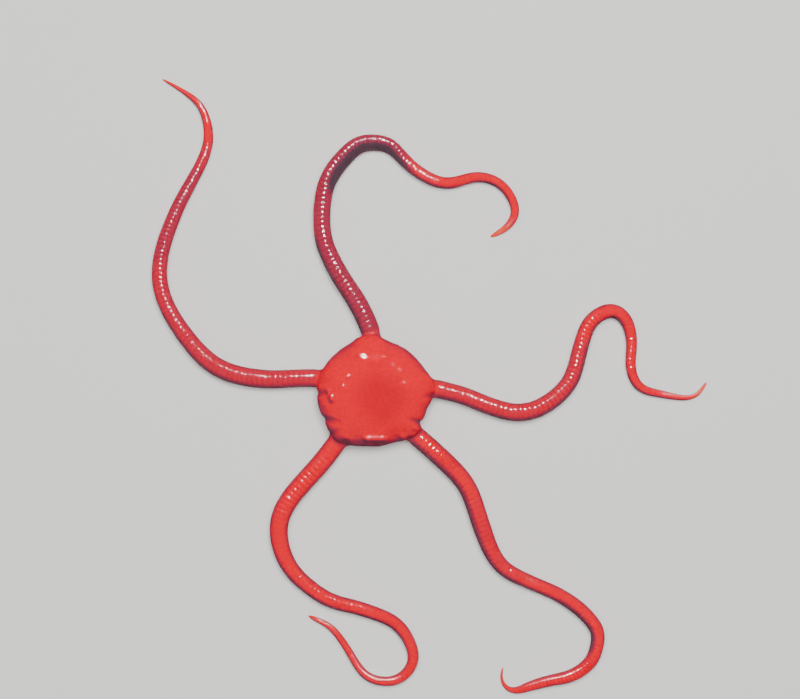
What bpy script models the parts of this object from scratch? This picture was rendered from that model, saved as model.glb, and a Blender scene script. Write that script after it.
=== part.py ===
"""Brittle star at rest on the floor, life size, in metres with +Z up.

A soft round disc lies on the floor with five jaws round the mouth beneath it. Five arms, each parted into a
few lengths, start in sockets under the disc's rim and wind out to fine tips. Seen from above, +X is to the
right and +Y is up the page. The origin lies on the floor under the middle of the whole outline.
"""
import math

import bmesh
import bpy
from mathutils import Vector

MM = 0.001
TURN = 2 * math.pi
GAP = 0.3 * MM

# Disc: a cushion, widest a little under half its height, slightly oval and leaning out to one side
DISC_CENTRE = Vector((-9.6, -0.7, 0.0)) * MM
DISC_RADIUS = 9.85 * MM
DISC_HEIGHT = 6.2 * MM
DISC_WAIST = 2.7 * MM
DISC_UNDERCUT = 1.9 * MM
DISC_SQUARENESS = 2.5
DISC_LEAN = 0.6 * MM
DISC_LEAN_AZIMUTH = math.radians(215)
DISC_OVAL = 0.3 * MM
DISC_OVAL_AZIMUTH = math.radians(10)
DISC_SIDES = 72

# Relief of the disc's top: a swelling runs out to each arm from a sunken middle
CORNER_RISE = 1.0 * MM
CORNER_SPREAD = math.radians(15)
SWELLING_RISE = 0.5 * MM
SWELLING_SPREAD = math.radians(20)
DIMPLE_DEPTH = 0.5 * MM
DIMPLE_SPREAD = 0.22

# Underside: level on the floor along the foot of each arm, lifted a little between them
FOOT_HALF_WIDTH = 1.5 * MM
FOOT_SLOPE = 1.3 * MM
UNDERSIDE_LIFT = 0.5 * MM

# Mouth: a round recess with a throat in the middle of the underside, and five wedge-shaped jaws
MOUTH_RADIUS = 3.3 * MM
MOUTH_DEPTH = 1.6 * MM
THROAT_RADIUS = 0.9 * MM
THROAT_DEPTH = 2.8 * MM
JAW_AZIMUTH = math.radians(54)
JAW_SLOT = 0.35 * MM
JAW_CLEARANCE = 0.5 * MM
PAPILLA_RADIUS = 0.26 * MM
PAPILLA_LENGTH = 0.75 * MM
PAPILLA_SINK = 0.35 * MM

# Slits beside the foot of each arm, through which the star breathes and sheds its eggs
SLIT_LENGTH = 3.0 * MM
SLIT_WIDTH = 0.5 * MM
SLIT_DEPTH = 0.7 * MM
SLIT_OFFSET = 2.6 * MM
SLIT_REACH = 6.3 * MM

# Arms: rounded above, flat where they lie on the floor, tapering late to a blunt tip
ARM_WIDTH = 3.45 * MM
ARM_FLATNESS = 0.88
ARM_TAPER_POWER = 2.1
ARM_TIP_BLUNTNESS = 40
ARM_SIDES = 10
TIP_LAST_RING = 0.997
ARM_ROOT = 1.6 * MM

# Arm rings: each swelling stands for two of the real segments, which shorten towards the tip
RINGS_PER_ARM = 42
RING_SHORTENING = 0.12
RING_GROOVE = 0.95
RING_CREST = 1.03

# Route of each arm's middle line over the floor from the disc's centre, in millimetres, the rings at which
# the arm is parted into lengths, and the share of its width that is left at the tip
ARMS = {
    "arm_a": {
        "azimuth": 167,
        "route": [
            (-6.8, 2.2), (-13.0, 2.4), (-20.5, 2.3), (-28.1, 4.0), (-33.2, 8.4), (-38.2, 16.7), (-38.8, 24.0),
            (-36.1, 32.3), (-31.2, 41.7), (-30.2, 46.5), (-31.6, 51.2), (-34.4, 53.8), (-38.6, 56.3),
        ],
        "partings": [8, 15, 23, 32],
        "tip_share": 0.33,
    },
    "arm_b": {
        "azimuth": 95,
        "route": [
            (0.1, 7.0), (-1.2, 11.4), (-3.4, 16.0), (-7.2, 22.0), (-9.8, 28.6), (-8.8, 37.4), (-3.9, 43.8),
            (-0.4, 44.8), (2.9, 44.1), (7.2, 39.9), (12.5, 37.4), (18.3, 38.5), (22.6, 37.0), (25.1, 32.6),
            (23.7, 29.6), (20.6, 27.9),
        ],
        "partings": [7, 14, 20, 25, 31],
        "tip_share": 0.33,
    },
    "arm_c": {
        "azimuth": 4,
        "route": [
            (7.0, 1.2), (15.3, -0.8), (20.5, -2.8), (25.6, -3.9), (30.5, -2.4), (35.0, 1.8), (37.1, 8.6),
            (38.6, 12.4), (42.2, 14.6), (45.0, 13.0), (46.2, 9.0), (46.0, 4.4), (47.5, 0.8), (50.8, -0.4),
            (55.4, -1.3), (58.1, -0.7), (59.7, 1.5),
        ],
        "partings": [8, 14, 19, 24, 30],
        "tip_share": 0.33,
    },
    "arm_d": {
        "azimuth": 312,
        "route": [
            (4.6, -5.7), (11.3, -11.5), (16.3, -17.0), (19.1, -24.2), (20.8, -28.7), (23.7, -32.4),
            (33.1, -36.9), (39.5, -42.5), (39.7, -46.4), (38.5, -49.2), (35.2, -51.5), (31.2, -52.3),
            (27.4, -53.3), (24.7, -54.1), (22.8, -52.3), (23.3, -50.0),
        ],
        "partings": [8, 15, 22, 27, 33],
        "tip_share": 0.42,
    },
    "arm_e": {
        "azimuth": 232,
        "route": [
            (-4.4, -5.5), (-9.0, -12.0), (-16.9, -22.1), (-16.0, -30.8), (-9.4, -37.1), (-2.4, -39.4),
            (3.8, -42.3), (6.6, -47.7), (5.0, -51.2), (1.9, -52.4), (-2.1, -51.2), (-5.7, -45.8),
            (-8.3, -42.6), (-12.2, -40.6),
        ],
        "partings": [8, 14, 20, 26, 31],
        "tip_share": 0.33,
    },
}

SCARLET = (0.70, 0.035, 0.05)
ROSE = (0.52, 0.06, 0.07)
ORAL_PINK = (0.42, 0.12, 0.15)


def clear_scene():
    """Empties the scene."""
    for item in list(bpy.data.objects):
        bpy.data.objects.remove(item)


def wet_skin(name, colour):
    """Material of thick wet skin in one colour."""
    material = bpy.data.materials.new(name)
    material.use_nodes = True
    surface = material.node_tree.nodes["Principled BSDF"]
    surface.inputs["Base Color"].default_value = (*colour, 1.0)
    surface.inputs["Roughness"].default_value = 0.35
    surface.inputs["Metallic"].default_value = 0.0
    return material


def loft(name, rings, material):
    """Closed body over a row of rings; a one-point ring ends it in a fan, a full one in a flat face."""
    shape = bmesh.new()
    rows = [[shape.verts.new(point) for point in ring] for ring in rings]
    for row, after in zip(rows, rows[1:]):
        count = max(len(row), len(after))
        for i in range(count):
            j = (i + 1) % count
            if len(row) == 1:
                shape.faces.new((row[0], after[j], after[i]))
            elif len(after) == 1:
                shape.faces.new((row[i], row[j], after[0]))
            else:
                shape.faces.new((row[i], row[j], after[j], after[i]))
    for row in (rows[0], rows[-1]):
        if len(row) > 1:
            shape.faces.new(row)
    bmesh.ops.recalc_face_normals(shape, faces=shape.faces)
    mesh = bpy.data.meshes.new(name)
    shape.to_mesh(mesh)
    shape.free()
    mesh.materials.append(material)
    mesh.shade_smooth()
    body = bpy.data.objects.new(name, mesh)
    bpy.context.scene.collection.objects.link(body)
    return body


def keep_largest(mesh):
    """Leaves only the closed surface with the most faces."""
    shape = bmesh.new()
    shape.from_mesh(mesh)
    unseen = set(shape.faces)
    surfaces = []
    while unseen:
        surface = {unseen.pop()}
        edge_of_search = list(surface)
        while edge_of_search:
            face = edge_of_search.pop()
            around = {other for edge in face.edges for other in edge.link_faces} & unseen
            unseen -= around
            surface |= around
            edge_of_search.extend(around)
        surfaces.append(surface)
    largest = max(surfaces, key=len)
    scraps = [face for face in shape.faces if face not in largest]
    bmesh.ops.delete(shape, geom=scraps, context="FACES")
    shape.to_mesh(mesh)
    shape.free()


def combine(body, pieces, operation):
    """Fuses the pieces to the body, or cuts them from it, in one Boolean that is applied."""
    group = bpy.data.collections.new("pieces")
    bpy.context.scene.collection.children.link(group)
    for piece in pieces:
        group.objects.link(piece)
    boolean = body.modifiers.new("combine", "BOOLEAN")
    boolean.operation = operation
    boolean.operand_type = "COLLECTION"
    boolean.collection = group
    graph = bpy.context.evaluated_depsgraph_get()
    mesh = bpy.data.meshes.new_from_object(body.evaluated_get(graph))
    body.modifiers.remove(boolean)
    body.data = mesh
    for piece in pieces:
        bpy.data.objects.remove(piece)
    bpy.data.collections.remove(group)
    keep_largest(mesh)


def swell(azimuth, centre, spread):
    """Bell curve of azimuth about a centre, 1 at its top."""
    away = (azimuth - centre + math.pi) % TURN - math.pi
    return math.exp(-((away / spread) ** 2))


def over_arms(azimuth, spread):
    """Sum of the bell curves about the five arms."""
    return sum(swell(azimuth, math.radians(arm["azimuth"]), spread) for arm in ARMS.values())


def rim_radius(azimuth):
    """Girth of the disc: a slight oval with a lean to one side and a soft corner at each arm."""
    lean = DISC_LEAN * math.cos(azimuth - DISC_LEAN_AZIMUTH)
    oval = DISC_OVAL * math.cos(2 * (azimuth - DISC_OVAL_AZIMUTH))
    return DISC_RADIUS + lean + oval + CORNER_RISE * over_arms(azimuth, CORNER_SPREAD)


def top_height(azimuth, share):
    """Height of the disc's top at a share of the rim's radius: a squarish dome with its relief."""
    dome = (1 - share**DISC_SQUARENESS) ** (1 / DISC_SQUARENESS)
    swelling = SWELLING_RISE * over_arms(azimuth, SWELLING_SPREAD) * math.sin(math.pi * share) ** 2
    dimple = DIMPLE_DEPTH * math.exp(-((share / DIMPLE_SPREAD) ** 2))
    return DISC_WAIST + (DISC_HEIGHT - DISC_WAIST) * dome + swelling - dimple


def underside_height(azimuth, radius):
    """Height of the disc's underside: zero along each arm's foot, then a smooth step up to the lift."""
    turns = [(azimuth - math.radians(arm["azimuth"]) + math.pi) % TURN - math.pi for arm in ARMS.values()]
    away = radius * math.sin(min(TURN / 4, *(abs(turn) for turn in turns)))
    step = min(max((away - FOOT_HALF_WIDTH) / FOOT_SLOPE, 0), 1)
    return UNDERSIDE_LIFT * step**2 * (3 - 2 * step)


def edge_height(azimuth, angle):
    """Height on the rounded lower edge, from the waist at angle 0 down to the underside at 90 degrees."""
    under = underside_height(azimuth, rim_radius(azimuth) - DISC_UNDERCUT)
    return under + (DISC_WAIST - under) * (1 - math.sin(angle))


def disc_ring(radius_at, height_at):
    """Ring of points about the disc's centre from a radius and a height at each azimuth."""
    azimuths = [TURN * i / DISC_SIDES for i in range(DISC_SIDES)]
    return [
        DISC_CENTRE
        + Vector((radius_at(a) * math.cos(a), radius_at(a) * math.sin(a), height_at(a)))
        for a in azimuths
    ]


def make_disc():
    """Disc with the arms' sockets, the mouth and the slits cut into it."""
    rings = [[DISC_CENTRE.copy()]]
    for share in (0.28, 0.42, 0.56, 0.7):
        rings.append(
            disc_ring(lambda a: share * rim_radius(a), lambda a: underside_height(a, share * rim_radius(a)))
        )
    for step in (3, 2, 1):
        angle = math.radians(30 * step)
        inset = DISC_UNDERCUT * (1 - math.cos(angle))
        rings.append(disc_ring(lambda a: rim_radius(a) - inset, lambda a: edge_height(a, angle)))
    for share in (1.0, 0.985, 0.94, 0.86, 0.74, 0.6, 0.46, 0.32, 0.18):
        rings.append(disc_ring(lambda a: share * rim_radius(a), lambda a: top_height(a, share)))
    rings.append([DISC_CENTRE + Vector((0, 0, top_height(0, 0)))])
    disc = loft("disc", rings, wet_skin("disc_skin", SCARLET))
    cutters = [turned_cutter(MOUTH_RADIUS, MOUTH_DEPTH), turned_cutter(THROAT_RADIUS, THROAT_DEPTH)]
    cutters += [arm_cutter(arm) for arm in ARMS.values()]
    cutters += [slit_cutter(arm, side) for arm in ARMS.values() for side in (-1, 1)]
    combine(disc, cutters, "DIFFERENCE")


def turned_cutter(radius, depth):
    """Upright round cutter at the disc's centre, from under the floor to a depth in the disc."""
    sides = 30
    rings = []
    for height in (-GAP, depth):
        angles = [TURN * i / sides for i in range(sides)]
        rings.append(
            [DISC_CENTRE + Vector((radius * math.cos(a), radius * math.sin(a), height)) for a in angles]
        )
    return loft("cutter", rings, wet_skin("cut", ORAL_PINK))


def arm_cutter(arm):
    """Cutter for an arm's socket: the arm's own foot, larger all round by the gap."""
    line = ArmLine(arm)
    stations = [ARM_ROOT - GAP, ARM_ROOT + 1.5 * ARM_WIDTH, ARM_ROOT + 3 * ARM_WIDTH]
    return loft("cutter", [arm_ring(line, s, RING_CREST, GAP) for s in stations], wet_skin("cut", SCARLET))


def slit_cutter(arm, side):
    """Narrow box beside an arm's foot, in the underside."""
    azimuth = math.radians(arm["azimuth"])
    out = Vector((math.cos(azimuth), math.sin(azimuth), 0))
    across = Vector((-out.y, out.x, 0)) * side
    centre = DISC_CENTRE + out * SLIT_REACH + across * SLIT_OFFSET
    rings = []
    for height in (-GAP, SLIT_DEPTH):
        corners = ((-1, -1), (1, -1), (1, 1), (-1, 1))
        rings.append(
            [
                centre + out * (u * SLIT_LENGTH / 2) + across * (v * SLIT_WIDTH / 2) + Vector((0, 0, height))
                for u, v in corners
            ]
        )
    return loft("cutter", rings, wet_skin("cut", ORAL_PINK))


def make_jaw(number):
    """Wedge-shaped jaw in the mouth, with short papillae along its edges."""
    azimuth = JAW_AZIMUTH + TURN * number / 5
    out = Vector((math.cos(azimuth), math.sin(azimuth), 0))
    across = Vector((-out.y, out.x, 0))
    reach = MOUTH_RADIUS - GAP
    spread = TURN / 10 - math.asin(JAW_SLOT / reach)
    point = JAW_SLOT / math.sin(TURN / 10)
    outline = [out * point]
    for step in (-1, -0.5, 0, 0.5, 1):
        outline.append((out * math.cos(spread * step) + across * math.sin(spread * step)) * reach)
    rings = [
        [DISC_CENTRE + corner + Vector((0, 0, height)) for corner in outline]
        for height in (JAW_CLEARANCE, MOUTH_DEPTH - GAP)
    ]
    material = wet_skin(f"jaw_{number + 1}_skin", ORAL_PINK)
    jaw = loft(f"jaw_{number + 1}", rings, material)
    papillae = []
    for distance, turn in ((1.15, 0), (1.75, -0.55), (1.75, 0.55), (2.5, -0.7), (2.5, 0.7)):
        foot = (out * math.cos(spread * turn) + across * math.sin(spread * turn)) * distance * MM
        papillae.append(papilla(DISC_CENTRE + foot, material))
    combine(jaw, papillae, "UNION")


def papilla(foot, material):
    """Short blunt peg that points down from a jaw."""
    top = JAW_CLEARANCE + PAPILLA_SINK
    angles = [TURN * i / 6 for i in range(6)]
    rings = []
    for share, thickness in ((0, 1), (0.6, 0.9), (1, 0.45)):
        radius = PAPILLA_RADIUS * thickness
        height = top - PAPILLA_LENGTH * share
        rings.append([foot + Vector((math.cos(a) * radius, math.sin(a) * radius, height)) for a in angles])
    return loft("papilla", rings, material)


class ArmLine:
    """Smooth line over the floor through an arm's route, and the arm's width, by the distance along it."""

    STEPS = 24

    def __init__(self, arm):
        self.tip_share = arm["tip_share"]
        stops = [DISC_CENTRE + Vector((x, y, 0)) * MM for x, y in arm["route"]]
        ends = [2 * stops[0] - stops[1], *stops, 2 * stops[-1] - stops[-2]]
        self.points = []
        for before, start, stop, after in zip(ends, ends[1:], ends[2:], ends[3:]):
            for i in range(self.STEPS):
                self.points.append(self.between(before, start, stop, after, i / self.STEPS))
        self.points.append(stops[-1])
        self.distances = [0.0]
        for point, following in zip(self.points, self.points[1:]):
            self.distances.append(self.distances[-1] + (following - point).length)
        self.length = self.distances[-1]

    @staticmethod
    def between(before, start, stop, after, t):
        """Catmull-Rom curve from start to stop."""
        slope_in = (stop - before) / 2
        slope_out = (after - start) / 2
        bend = 3 * (stop - start) - 2 * slope_in - slope_out
        twist = 2 * (start - stop) + slope_in + slope_out
        return start + slope_in * t + bend * t**2 + twist * t**3

    def at(self, distance):
        """Place and level heading at a distance along the line."""
        i = 0
        while i < len(self.points) - 2 and self.distances[i + 1] < distance:
            i += 1
        step = self.points[i + 1] - self.points[i]
        heading = step.normalized()
        return self.points[i] + heading * (distance - self.distances[i]), heading

    def width_at(self, distance):
        """Width of the arm: full for the first third, then down to a rounded tip."""
        share = min(max(distance / self.length, 0), 1)
        taper = 1 - (1 - self.tip_share) * share**ARM_TAPER_POWER
        return ARM_WIDTH * taper * math.sqrt(1 - share**ARM_TIP_BLUNTNESS)


def arm_ring(line, distance, scale, grow=0.0):
    """Cross-section of an arm, with its two lowest points on the floor, or larger all round by grow."""
    centre, heading = line.at(distance)
    across = Vector((heading.y, -heading.x, 0))
    width = line.width_at(distance) * scale
    half_width = width / 2 + grow
    half_height = width * ARM_FLATNESS / 2 + grow
    lowest = -TURN / 4 + TURN / ARM_SIDES / 2
    ring = []
    for i in range(ARM_SIDES):
        angle = lowest + TURN * i / ARM_SIDES
        height = (math.sin(angle) - math.sin(lowest)) * half_height - grow
        ring.append(centre + across * (math.cos(angle) * half_width) + Vector((0, 0, max(height, -grow))))
    return ring


def ring_distance(line, number):
    """Distance along the arm of a groove between rings, or of a crest at a half number."""
    t = number / RINGS_PER_ARM
    return ARM_ROOT + (line.length - ARM_ROOT) * t * (1 + RING_SHORTENING * (1 - t))


def make_arm(name, arm):
    """One arm as a row of lengths, each a body of its own, face to face across the gap."""
    line = ArmLine(arm)
    partings = [0, *arm["partings"], RINGS_PER_ARM]
    for number, (first, last) in enumerate(zip(partings, partings[1:]), start=1):
        start = ring_distance(line, first) + (GAP / 2 if first else 0)
        rings = [arm_ring(line, start, RING_GROOVE)]
        for groove in range(first, last):
            rings.append(arm_ring(line, ring_distance(line, groove + 0.5), RING_CREST))
            if groove + 1 < last:
                rings.append(arm_ring(line, ring_distance(line, groove + 1), RING_GROOVE))
        if last < RINGS_PER_ARM:
            rings.append(arm_ring(line, ring_distance(line, last) - GAP / 2, RING_GROOVE))
        else:
            blunt = line.length * TIP_LAST_RING
            rings.append(arm_ring(line, blunt, 1.0))
            place, heading = line.at(line.length)
            rings.append([place + Vector((0, 0, line.width_at(blunt) * ARM_FLATNESS / 3))])
        loft(f"{name}_{number}", rings, wet_skin(f"{name}_{number}_skin", ROSE))


clear_scene()
make_disc()
for jaw_number in range(5):
    make_jaw(jaw_number)
for arm_name, arm_plan in ARMS.items():
    make_arm(arm_name, arm_plan)
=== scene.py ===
"""Brittle star at rest on a pale floor, seen from straight above.

One closed skin covers the disc and the five arms. Five jaws sit in the mouth beneath the disc, and small
spines and tentacle scales stand low along the arms. Lengths are in millimetres and become metres when they
go into a mesh. +X is to the right and +Y is up the picture.
"""
import math

import bpy
import numpy as np
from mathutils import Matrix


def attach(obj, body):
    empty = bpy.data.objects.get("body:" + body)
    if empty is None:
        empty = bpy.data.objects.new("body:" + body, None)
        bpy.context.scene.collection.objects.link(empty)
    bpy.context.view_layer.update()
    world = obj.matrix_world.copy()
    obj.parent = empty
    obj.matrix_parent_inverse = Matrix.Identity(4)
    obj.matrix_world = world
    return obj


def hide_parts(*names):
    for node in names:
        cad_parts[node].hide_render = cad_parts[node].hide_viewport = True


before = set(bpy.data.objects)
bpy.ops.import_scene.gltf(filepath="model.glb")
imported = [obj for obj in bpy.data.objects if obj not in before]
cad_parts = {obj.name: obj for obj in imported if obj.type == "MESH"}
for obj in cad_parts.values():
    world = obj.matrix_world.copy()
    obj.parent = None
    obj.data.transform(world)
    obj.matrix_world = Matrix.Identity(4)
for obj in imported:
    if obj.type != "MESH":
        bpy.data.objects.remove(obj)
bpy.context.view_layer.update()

# Disc: the round body, a cushion of thick wet skin over small hidden plates. It is a grid of spokes and of
# rows, which run from the throat out over the underside, round the rim and in over the top.
MM = 0.001
DISC_CENTRE = np.array([-9.6, -0.7, 0.0])
DISC_RADIUS = 9.85
DISC_HEIGHT = 6.2
DISC_WAIST = 2.7
DISC_UNDERCUT = 1.9
DISC_SQUARENESS = 2.5
DISC_LEAN = 0.6
DISC_LEAN_AZIMUTH = math.radians(215)
DISC_OVAL = 0.3
DISC_OVAL_AZIMUTH = math.radians(10)
ARM_AZIMUTHS = {name: math.radians(turn) for name, turn in zip("abcde", (167, 95, 4, 312, 232))}
CORNER_RISES = {"a": 0.05, "b": 0.85, "c": 1.0, "d": 1.0, "e": 0.95}
CORNER_SPREAD = math.radians(15)
SWELLING_RISES = {"a": 0.15, "b": 0.20, "c": 0.12, "d": 0.10, "e": 0.15}
SWELLING_SPREAD = math.radians(24)
DIMPLE_DEPTH = 0.10
DIMPLE_SPREAD = 0.3
FOOT_HALF_WIDTH = 1.5
FOOT_SLOPE = 1.3
UNDERSIDE_LIFT = 0.5
SPOKES = 240
TOP_ROWS = 62
EDGE_ROWS = 10
UNDER_ROWS = 14
CURVE_SAMPLES = 400

# Throat and mouth recess as radius and height, from the throat's end out to the lip on the underside, with
# the row where its roof begins
MOUTH_PROFILE = np.array([
    (0.45, 2.80), (0.75, 2.72), (0.90, 2.40), (0.96, 1.95), (1.15, 1.64), (1.80, 1.60), (2.50, 1.58),
    (3.00, 1.48), (3.22, 1.22), (3.30, 0.80), (3.34, 0.45), (3.45, 0.16), (3.70, 0.00),
])
MOUTH_ROOF_ROW = 5

# Folds that the skin falls into on the top and the rim: start at the rim and end from the disc's centre,
# half-width and depth, which fades inwards, where a depth below zero is a lobe or a small ridge
FOLDS = np.array([
    (-10.3, -0.4, -8.9, -0.8, 0.50, 0.30),
    (-10.0, -5.0, -6.9, -5.5, 0.55, 0.40),
    (-8.6, -8.1, -7.3, -7.4, 0.50, 0.34),
    (-5.8, -9.4, -4.9, -8.6, 0.50, 0.26),
    (8.9, -5.9, 6.2, -4.9, 0.48, 0.55),
    (7.9, -6.9, 7.0, -6.5, 0.50, -0.26),
    (5.6, -9.2, 6.6, -7.2, 0.45, 0.36),
    (10.5, -0.8, 8.4, -0.8, 0.50, 0.36),
    (9.0, -2.9, 7.3, -2.6, 0.50, 0.18),
    (9.9, 0.4, 9.4, 1.9, 0.35, 0.14),
    (-3.4, 9.3, -2.3, 9.9, 0.70, -0.30),
    (-1.7, 10.4, -2.0, 8.9, 0.35, 0.16),
    (-3.5, 6.9, -3.4, 6.9, 2.00, -0.42),
    (4.7, 3.7, 4.8, 3.7, 0.50, -0.12),
    (5.4, 1.4, 5.5, 1.4, 0.45, -0.13),
    (1.85, 6.3, 1.9, 6.3, 0.70, -0.16),
    (-5.3, 2.7, -5.2, 2.7, 0.45, -0.14),
    (-6.1, 0.8, -6.0, 0.8, 0.45, -0.14),
    (-9.0, 0.7, -8.6, 0.2, 0.42, -0.26),
    (-8.0, -0.9, -7.85, -1.4, 0.46, -0.38),
    (-1.7, -8.42, 1.8, -8.42, 0.50, -0.52),
    (-5.5, -8.2, -4.9, -8.4, 0.46, -0.28),
    (4.6, -8.2, 5.1, -8.1, 0.46, -0.26),
])
FOLD_FADING = 0.7
FOLD_HEIGHTS = (0.9, 2.4)
# Wrinkles are fine ridges, most of them near the rim, and the swell is a slow unevenness of the whole top
WRINKLE_SIZE = 1.9
WRINKLE_DEPTH = 0.035
WRINKLE_LEVEL = 0.7
WRINKLE_INSIDE = 0.12
WRINKLE_SHARES = (0.45, 0.95)
SWELL_SIZE = 5.0
SWELL_DEPTH = 0.05
WAVES = 14
WAVE_LENGTHS = (0.7, 1.3)
WAVE_HEIGHT = 0.27


def bell(distance, spread):
    """Bell curve: e to minus the square of distance over spread."""
    return np.exp(-((distance / spread) ** 2))


def ease(value, low, high):
    """Smooth step from 0 at low to 1 at high: 3t squared less 2t cubed."""
    t = np.clip((value - low) / (high - low), 0, 1)
    return t * t * (3 - 2 * t)


def unit(vectors):
    """The vectors over their lengths."""
    return vectors / np.linalg.norm(vectors, axis=-1, keepdims=True)


def turn_from(azimuth, centre):
    """Angle from centre to azimuth, from minus half a turn to half a turn."""
    return (azimuth - centre + math.pi) % (2 * math.pi) - math.pi


def over_arms(azimuth, spread, rises):
    """Sum of the bell curves of azimuth about the five arms, each times its rise."""
    return sum(rises[name] * bell(turn_from(azimuth, arm), spread) for name, arm in ARM_AZIMUTHS.items())


def girth(azimuth):
    """Radius of the rim: a circle with a lean to one side, a slight oval and a soft corner at each arm."""
    lean = DISC_LEAN * np.cos(azimuth - DISC_LEAN_AZIMUTH)
    oval = DISC_OVAL * np.cos(2 * (azimuth - DISC_OVAL_AZIMUTH))
    return DISC_RADIUS + lean + oval + over_arms(azimuth, CORNER_SPREAD, CORNER_RISES)


def top_height(azimuth, share):
    """Top at a share of the girth: a squarish dome, a swelling towards each arm, a dimple in the middle."""
    dome = (1 - share**DISC_SQUARENESS) ** (1 / DISC_SQUARENESS)
    swelling = over_arms(azimuth, SWELLING_SPREAD, SWELLING_RISES) * np.sin(np.pi * share) ** 2
    height = DISC_WAIST + (DISC_HEIGHT - DISC_WAIST) * dome + swelling
    return height - DIMPLE_DEPTH * bell(share, DIMPLE_SPREAD)


def under_height(azimuth, radius):
    """Underside: on the floor along each arm's foot, then a smooth step up to the lift between the arms."""
    nearest = np.min([np.abs(turn_from(azimuth, arm)) for arm in ARM_AZIMUTHS.values()], axis=0)
    return UNDERSIDE_LIFT * ease(radius * np.sin(nearest), FOOT_HALF_WIDTH, FOOT_HALF_WIDTH + FOOT_SLOPE)


def smooth_noise(points, size, seed):
    """Random relief of about -1 to 1: a sum of plane waves about one size long, in random directions."""
    draw = np.random.default_rng(seed)
    headings = unit(draw.normal(size=(WAVES, 3)))
    waves = headings * (2 * math.pi / size) * draw.uniform(*WAVE_LENGTHS, (WAVES, 1))
    return np.sin(points @ waves.T + draw.uniform(0, 2 * math.pi, WAVES)).sum(axis=-1) * WAVE_HEIGHT


def near_line(points, x0, y0, x1, y1, half_width, fading=0.0):
    """Bell curve of the distance, seen from above, to a straight line, which may fade towards its end."""
    start = np.array([x0, y0])
    step = np.array([x1, y1]) - start
    share = np.clip((points[..., :2] - start) @ step / (step @ step), 0, 1)
    away = np.linalg.norm(points[..., :2] - start - share[..., None] * step, axis=-1)
    return bell(away, half_width) * (1 - fading * share)


def fold_depth(points, spread=1.0):
    """Depth of all folds at each point, with their half-widths times the spread."""
    return sum(
        deep * near_line(points, *line, wide * spread, FOLD_FADING * (deep > 0))
        for *line, wide, deep in FOLDS
    )


def grid_normals(points):
    """Outward normals of a closed row-and-spoke grid, from the cross product of its two slopes."""
    along_row = np.roll(points, -1, axis=1) - np.roll(points, 1, axis=1)
    return unit(np.cross(along_row, np.gradient(points, axis=0)))


# Marks on the underside: the plates of each arm run on to the mouth as a strip, with a breathing slit
# beside each strip's foot and a round oral shield between the strips
SLIT_LENGTH = 2.7
SLIT_DEPTH = 0.7
SLIT_OFFSET = 2.6
SLIT_REACH = 6.8
SLIT_SPREAD = 0.3
SLIT_FADE = 0.3
STRIP_PITCH = 0.95
STRIP_GROOVE = 0.06
STRIP_GROOVE_SHARPNESS = 0.5
STRIP_HALF_WIDTH = (0.9, 1.4)
STRIP_SIDE = 1.25
STRIP_SIDE_DEPTH = 0.05
STRIP_SIDE_SPREAD = 0.22
SHIELD_REACH = 4.9
SHIELD_SIZE = 0.75
SHIELD_GROOVE = 0.08
SHIELD_GROOVE_SPREAD = 0.18
SHIELD_RISE = 0.10
MARK_HEIGHTS = (0.5, 1.0)


def under_relief(points, outside_mouth):
    """How far the underside lies back: bell curves across each slit and round each shield, and sine grooves
    between the strip's plates."""
    back = np.zeros(points.shape[:-1])
    slit_start = SLIT_REACH - SLIT_LENGTH / 2
    slit_end = SLIT_REACH + SLIT_LENGTH / 2
    for azimuth in ARM_AZIMUTHS.values():
        along = points[..., 0] * math.cos(azimuth) + points[..., 1] * math.sin(azimuth)
        across = np.abs(points[..., 1] * math.cos(azimuth) - points[..., 0] * math.sin(azimuth))
        inside = ease(along, slit_start - SLIT_FADE, slit_start + SLIT_FADE)
        inside *= 1 - ease(along, slit_end - SLIT_FADE, slit_end + SLIT_FADE)
        back += SLIT_DEPTH * bell(across - SLIT_OFFSET, SLIT_SPREAD) * inside
        plates = np.abs(np.sin(np.pi * along / STRIP_PITCH)) ** STRIP_GROOVE_SHARPNESS
        back += STRIP_GROOVE * (1 - plates) * (1 - ease(across, *STRIP_HALF_WIDTH)) * (along > 0)
        back += STRIP_SIDE_DEPTH * bell(across - STRIP_SIDE, STRIP_SIDE_SPREAD) * (along > 0)
        between = azimuth + math.pi / 5
        middle = SHIELD_REACH * np.array([math.cos(between), math.sin(between)])
        away = np.linalg.norm(points[..., :2] - middle, axis=-1)
        back += SHIELD_GROOVE * bell(away - SHIELD_SIZE, SHIELD_GROOVE_SPREAD)
        back -= SHIELD_RISE * (1 - ease(away, 0, SHIELD_SIZE))
    return back * outside_mouth


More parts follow.
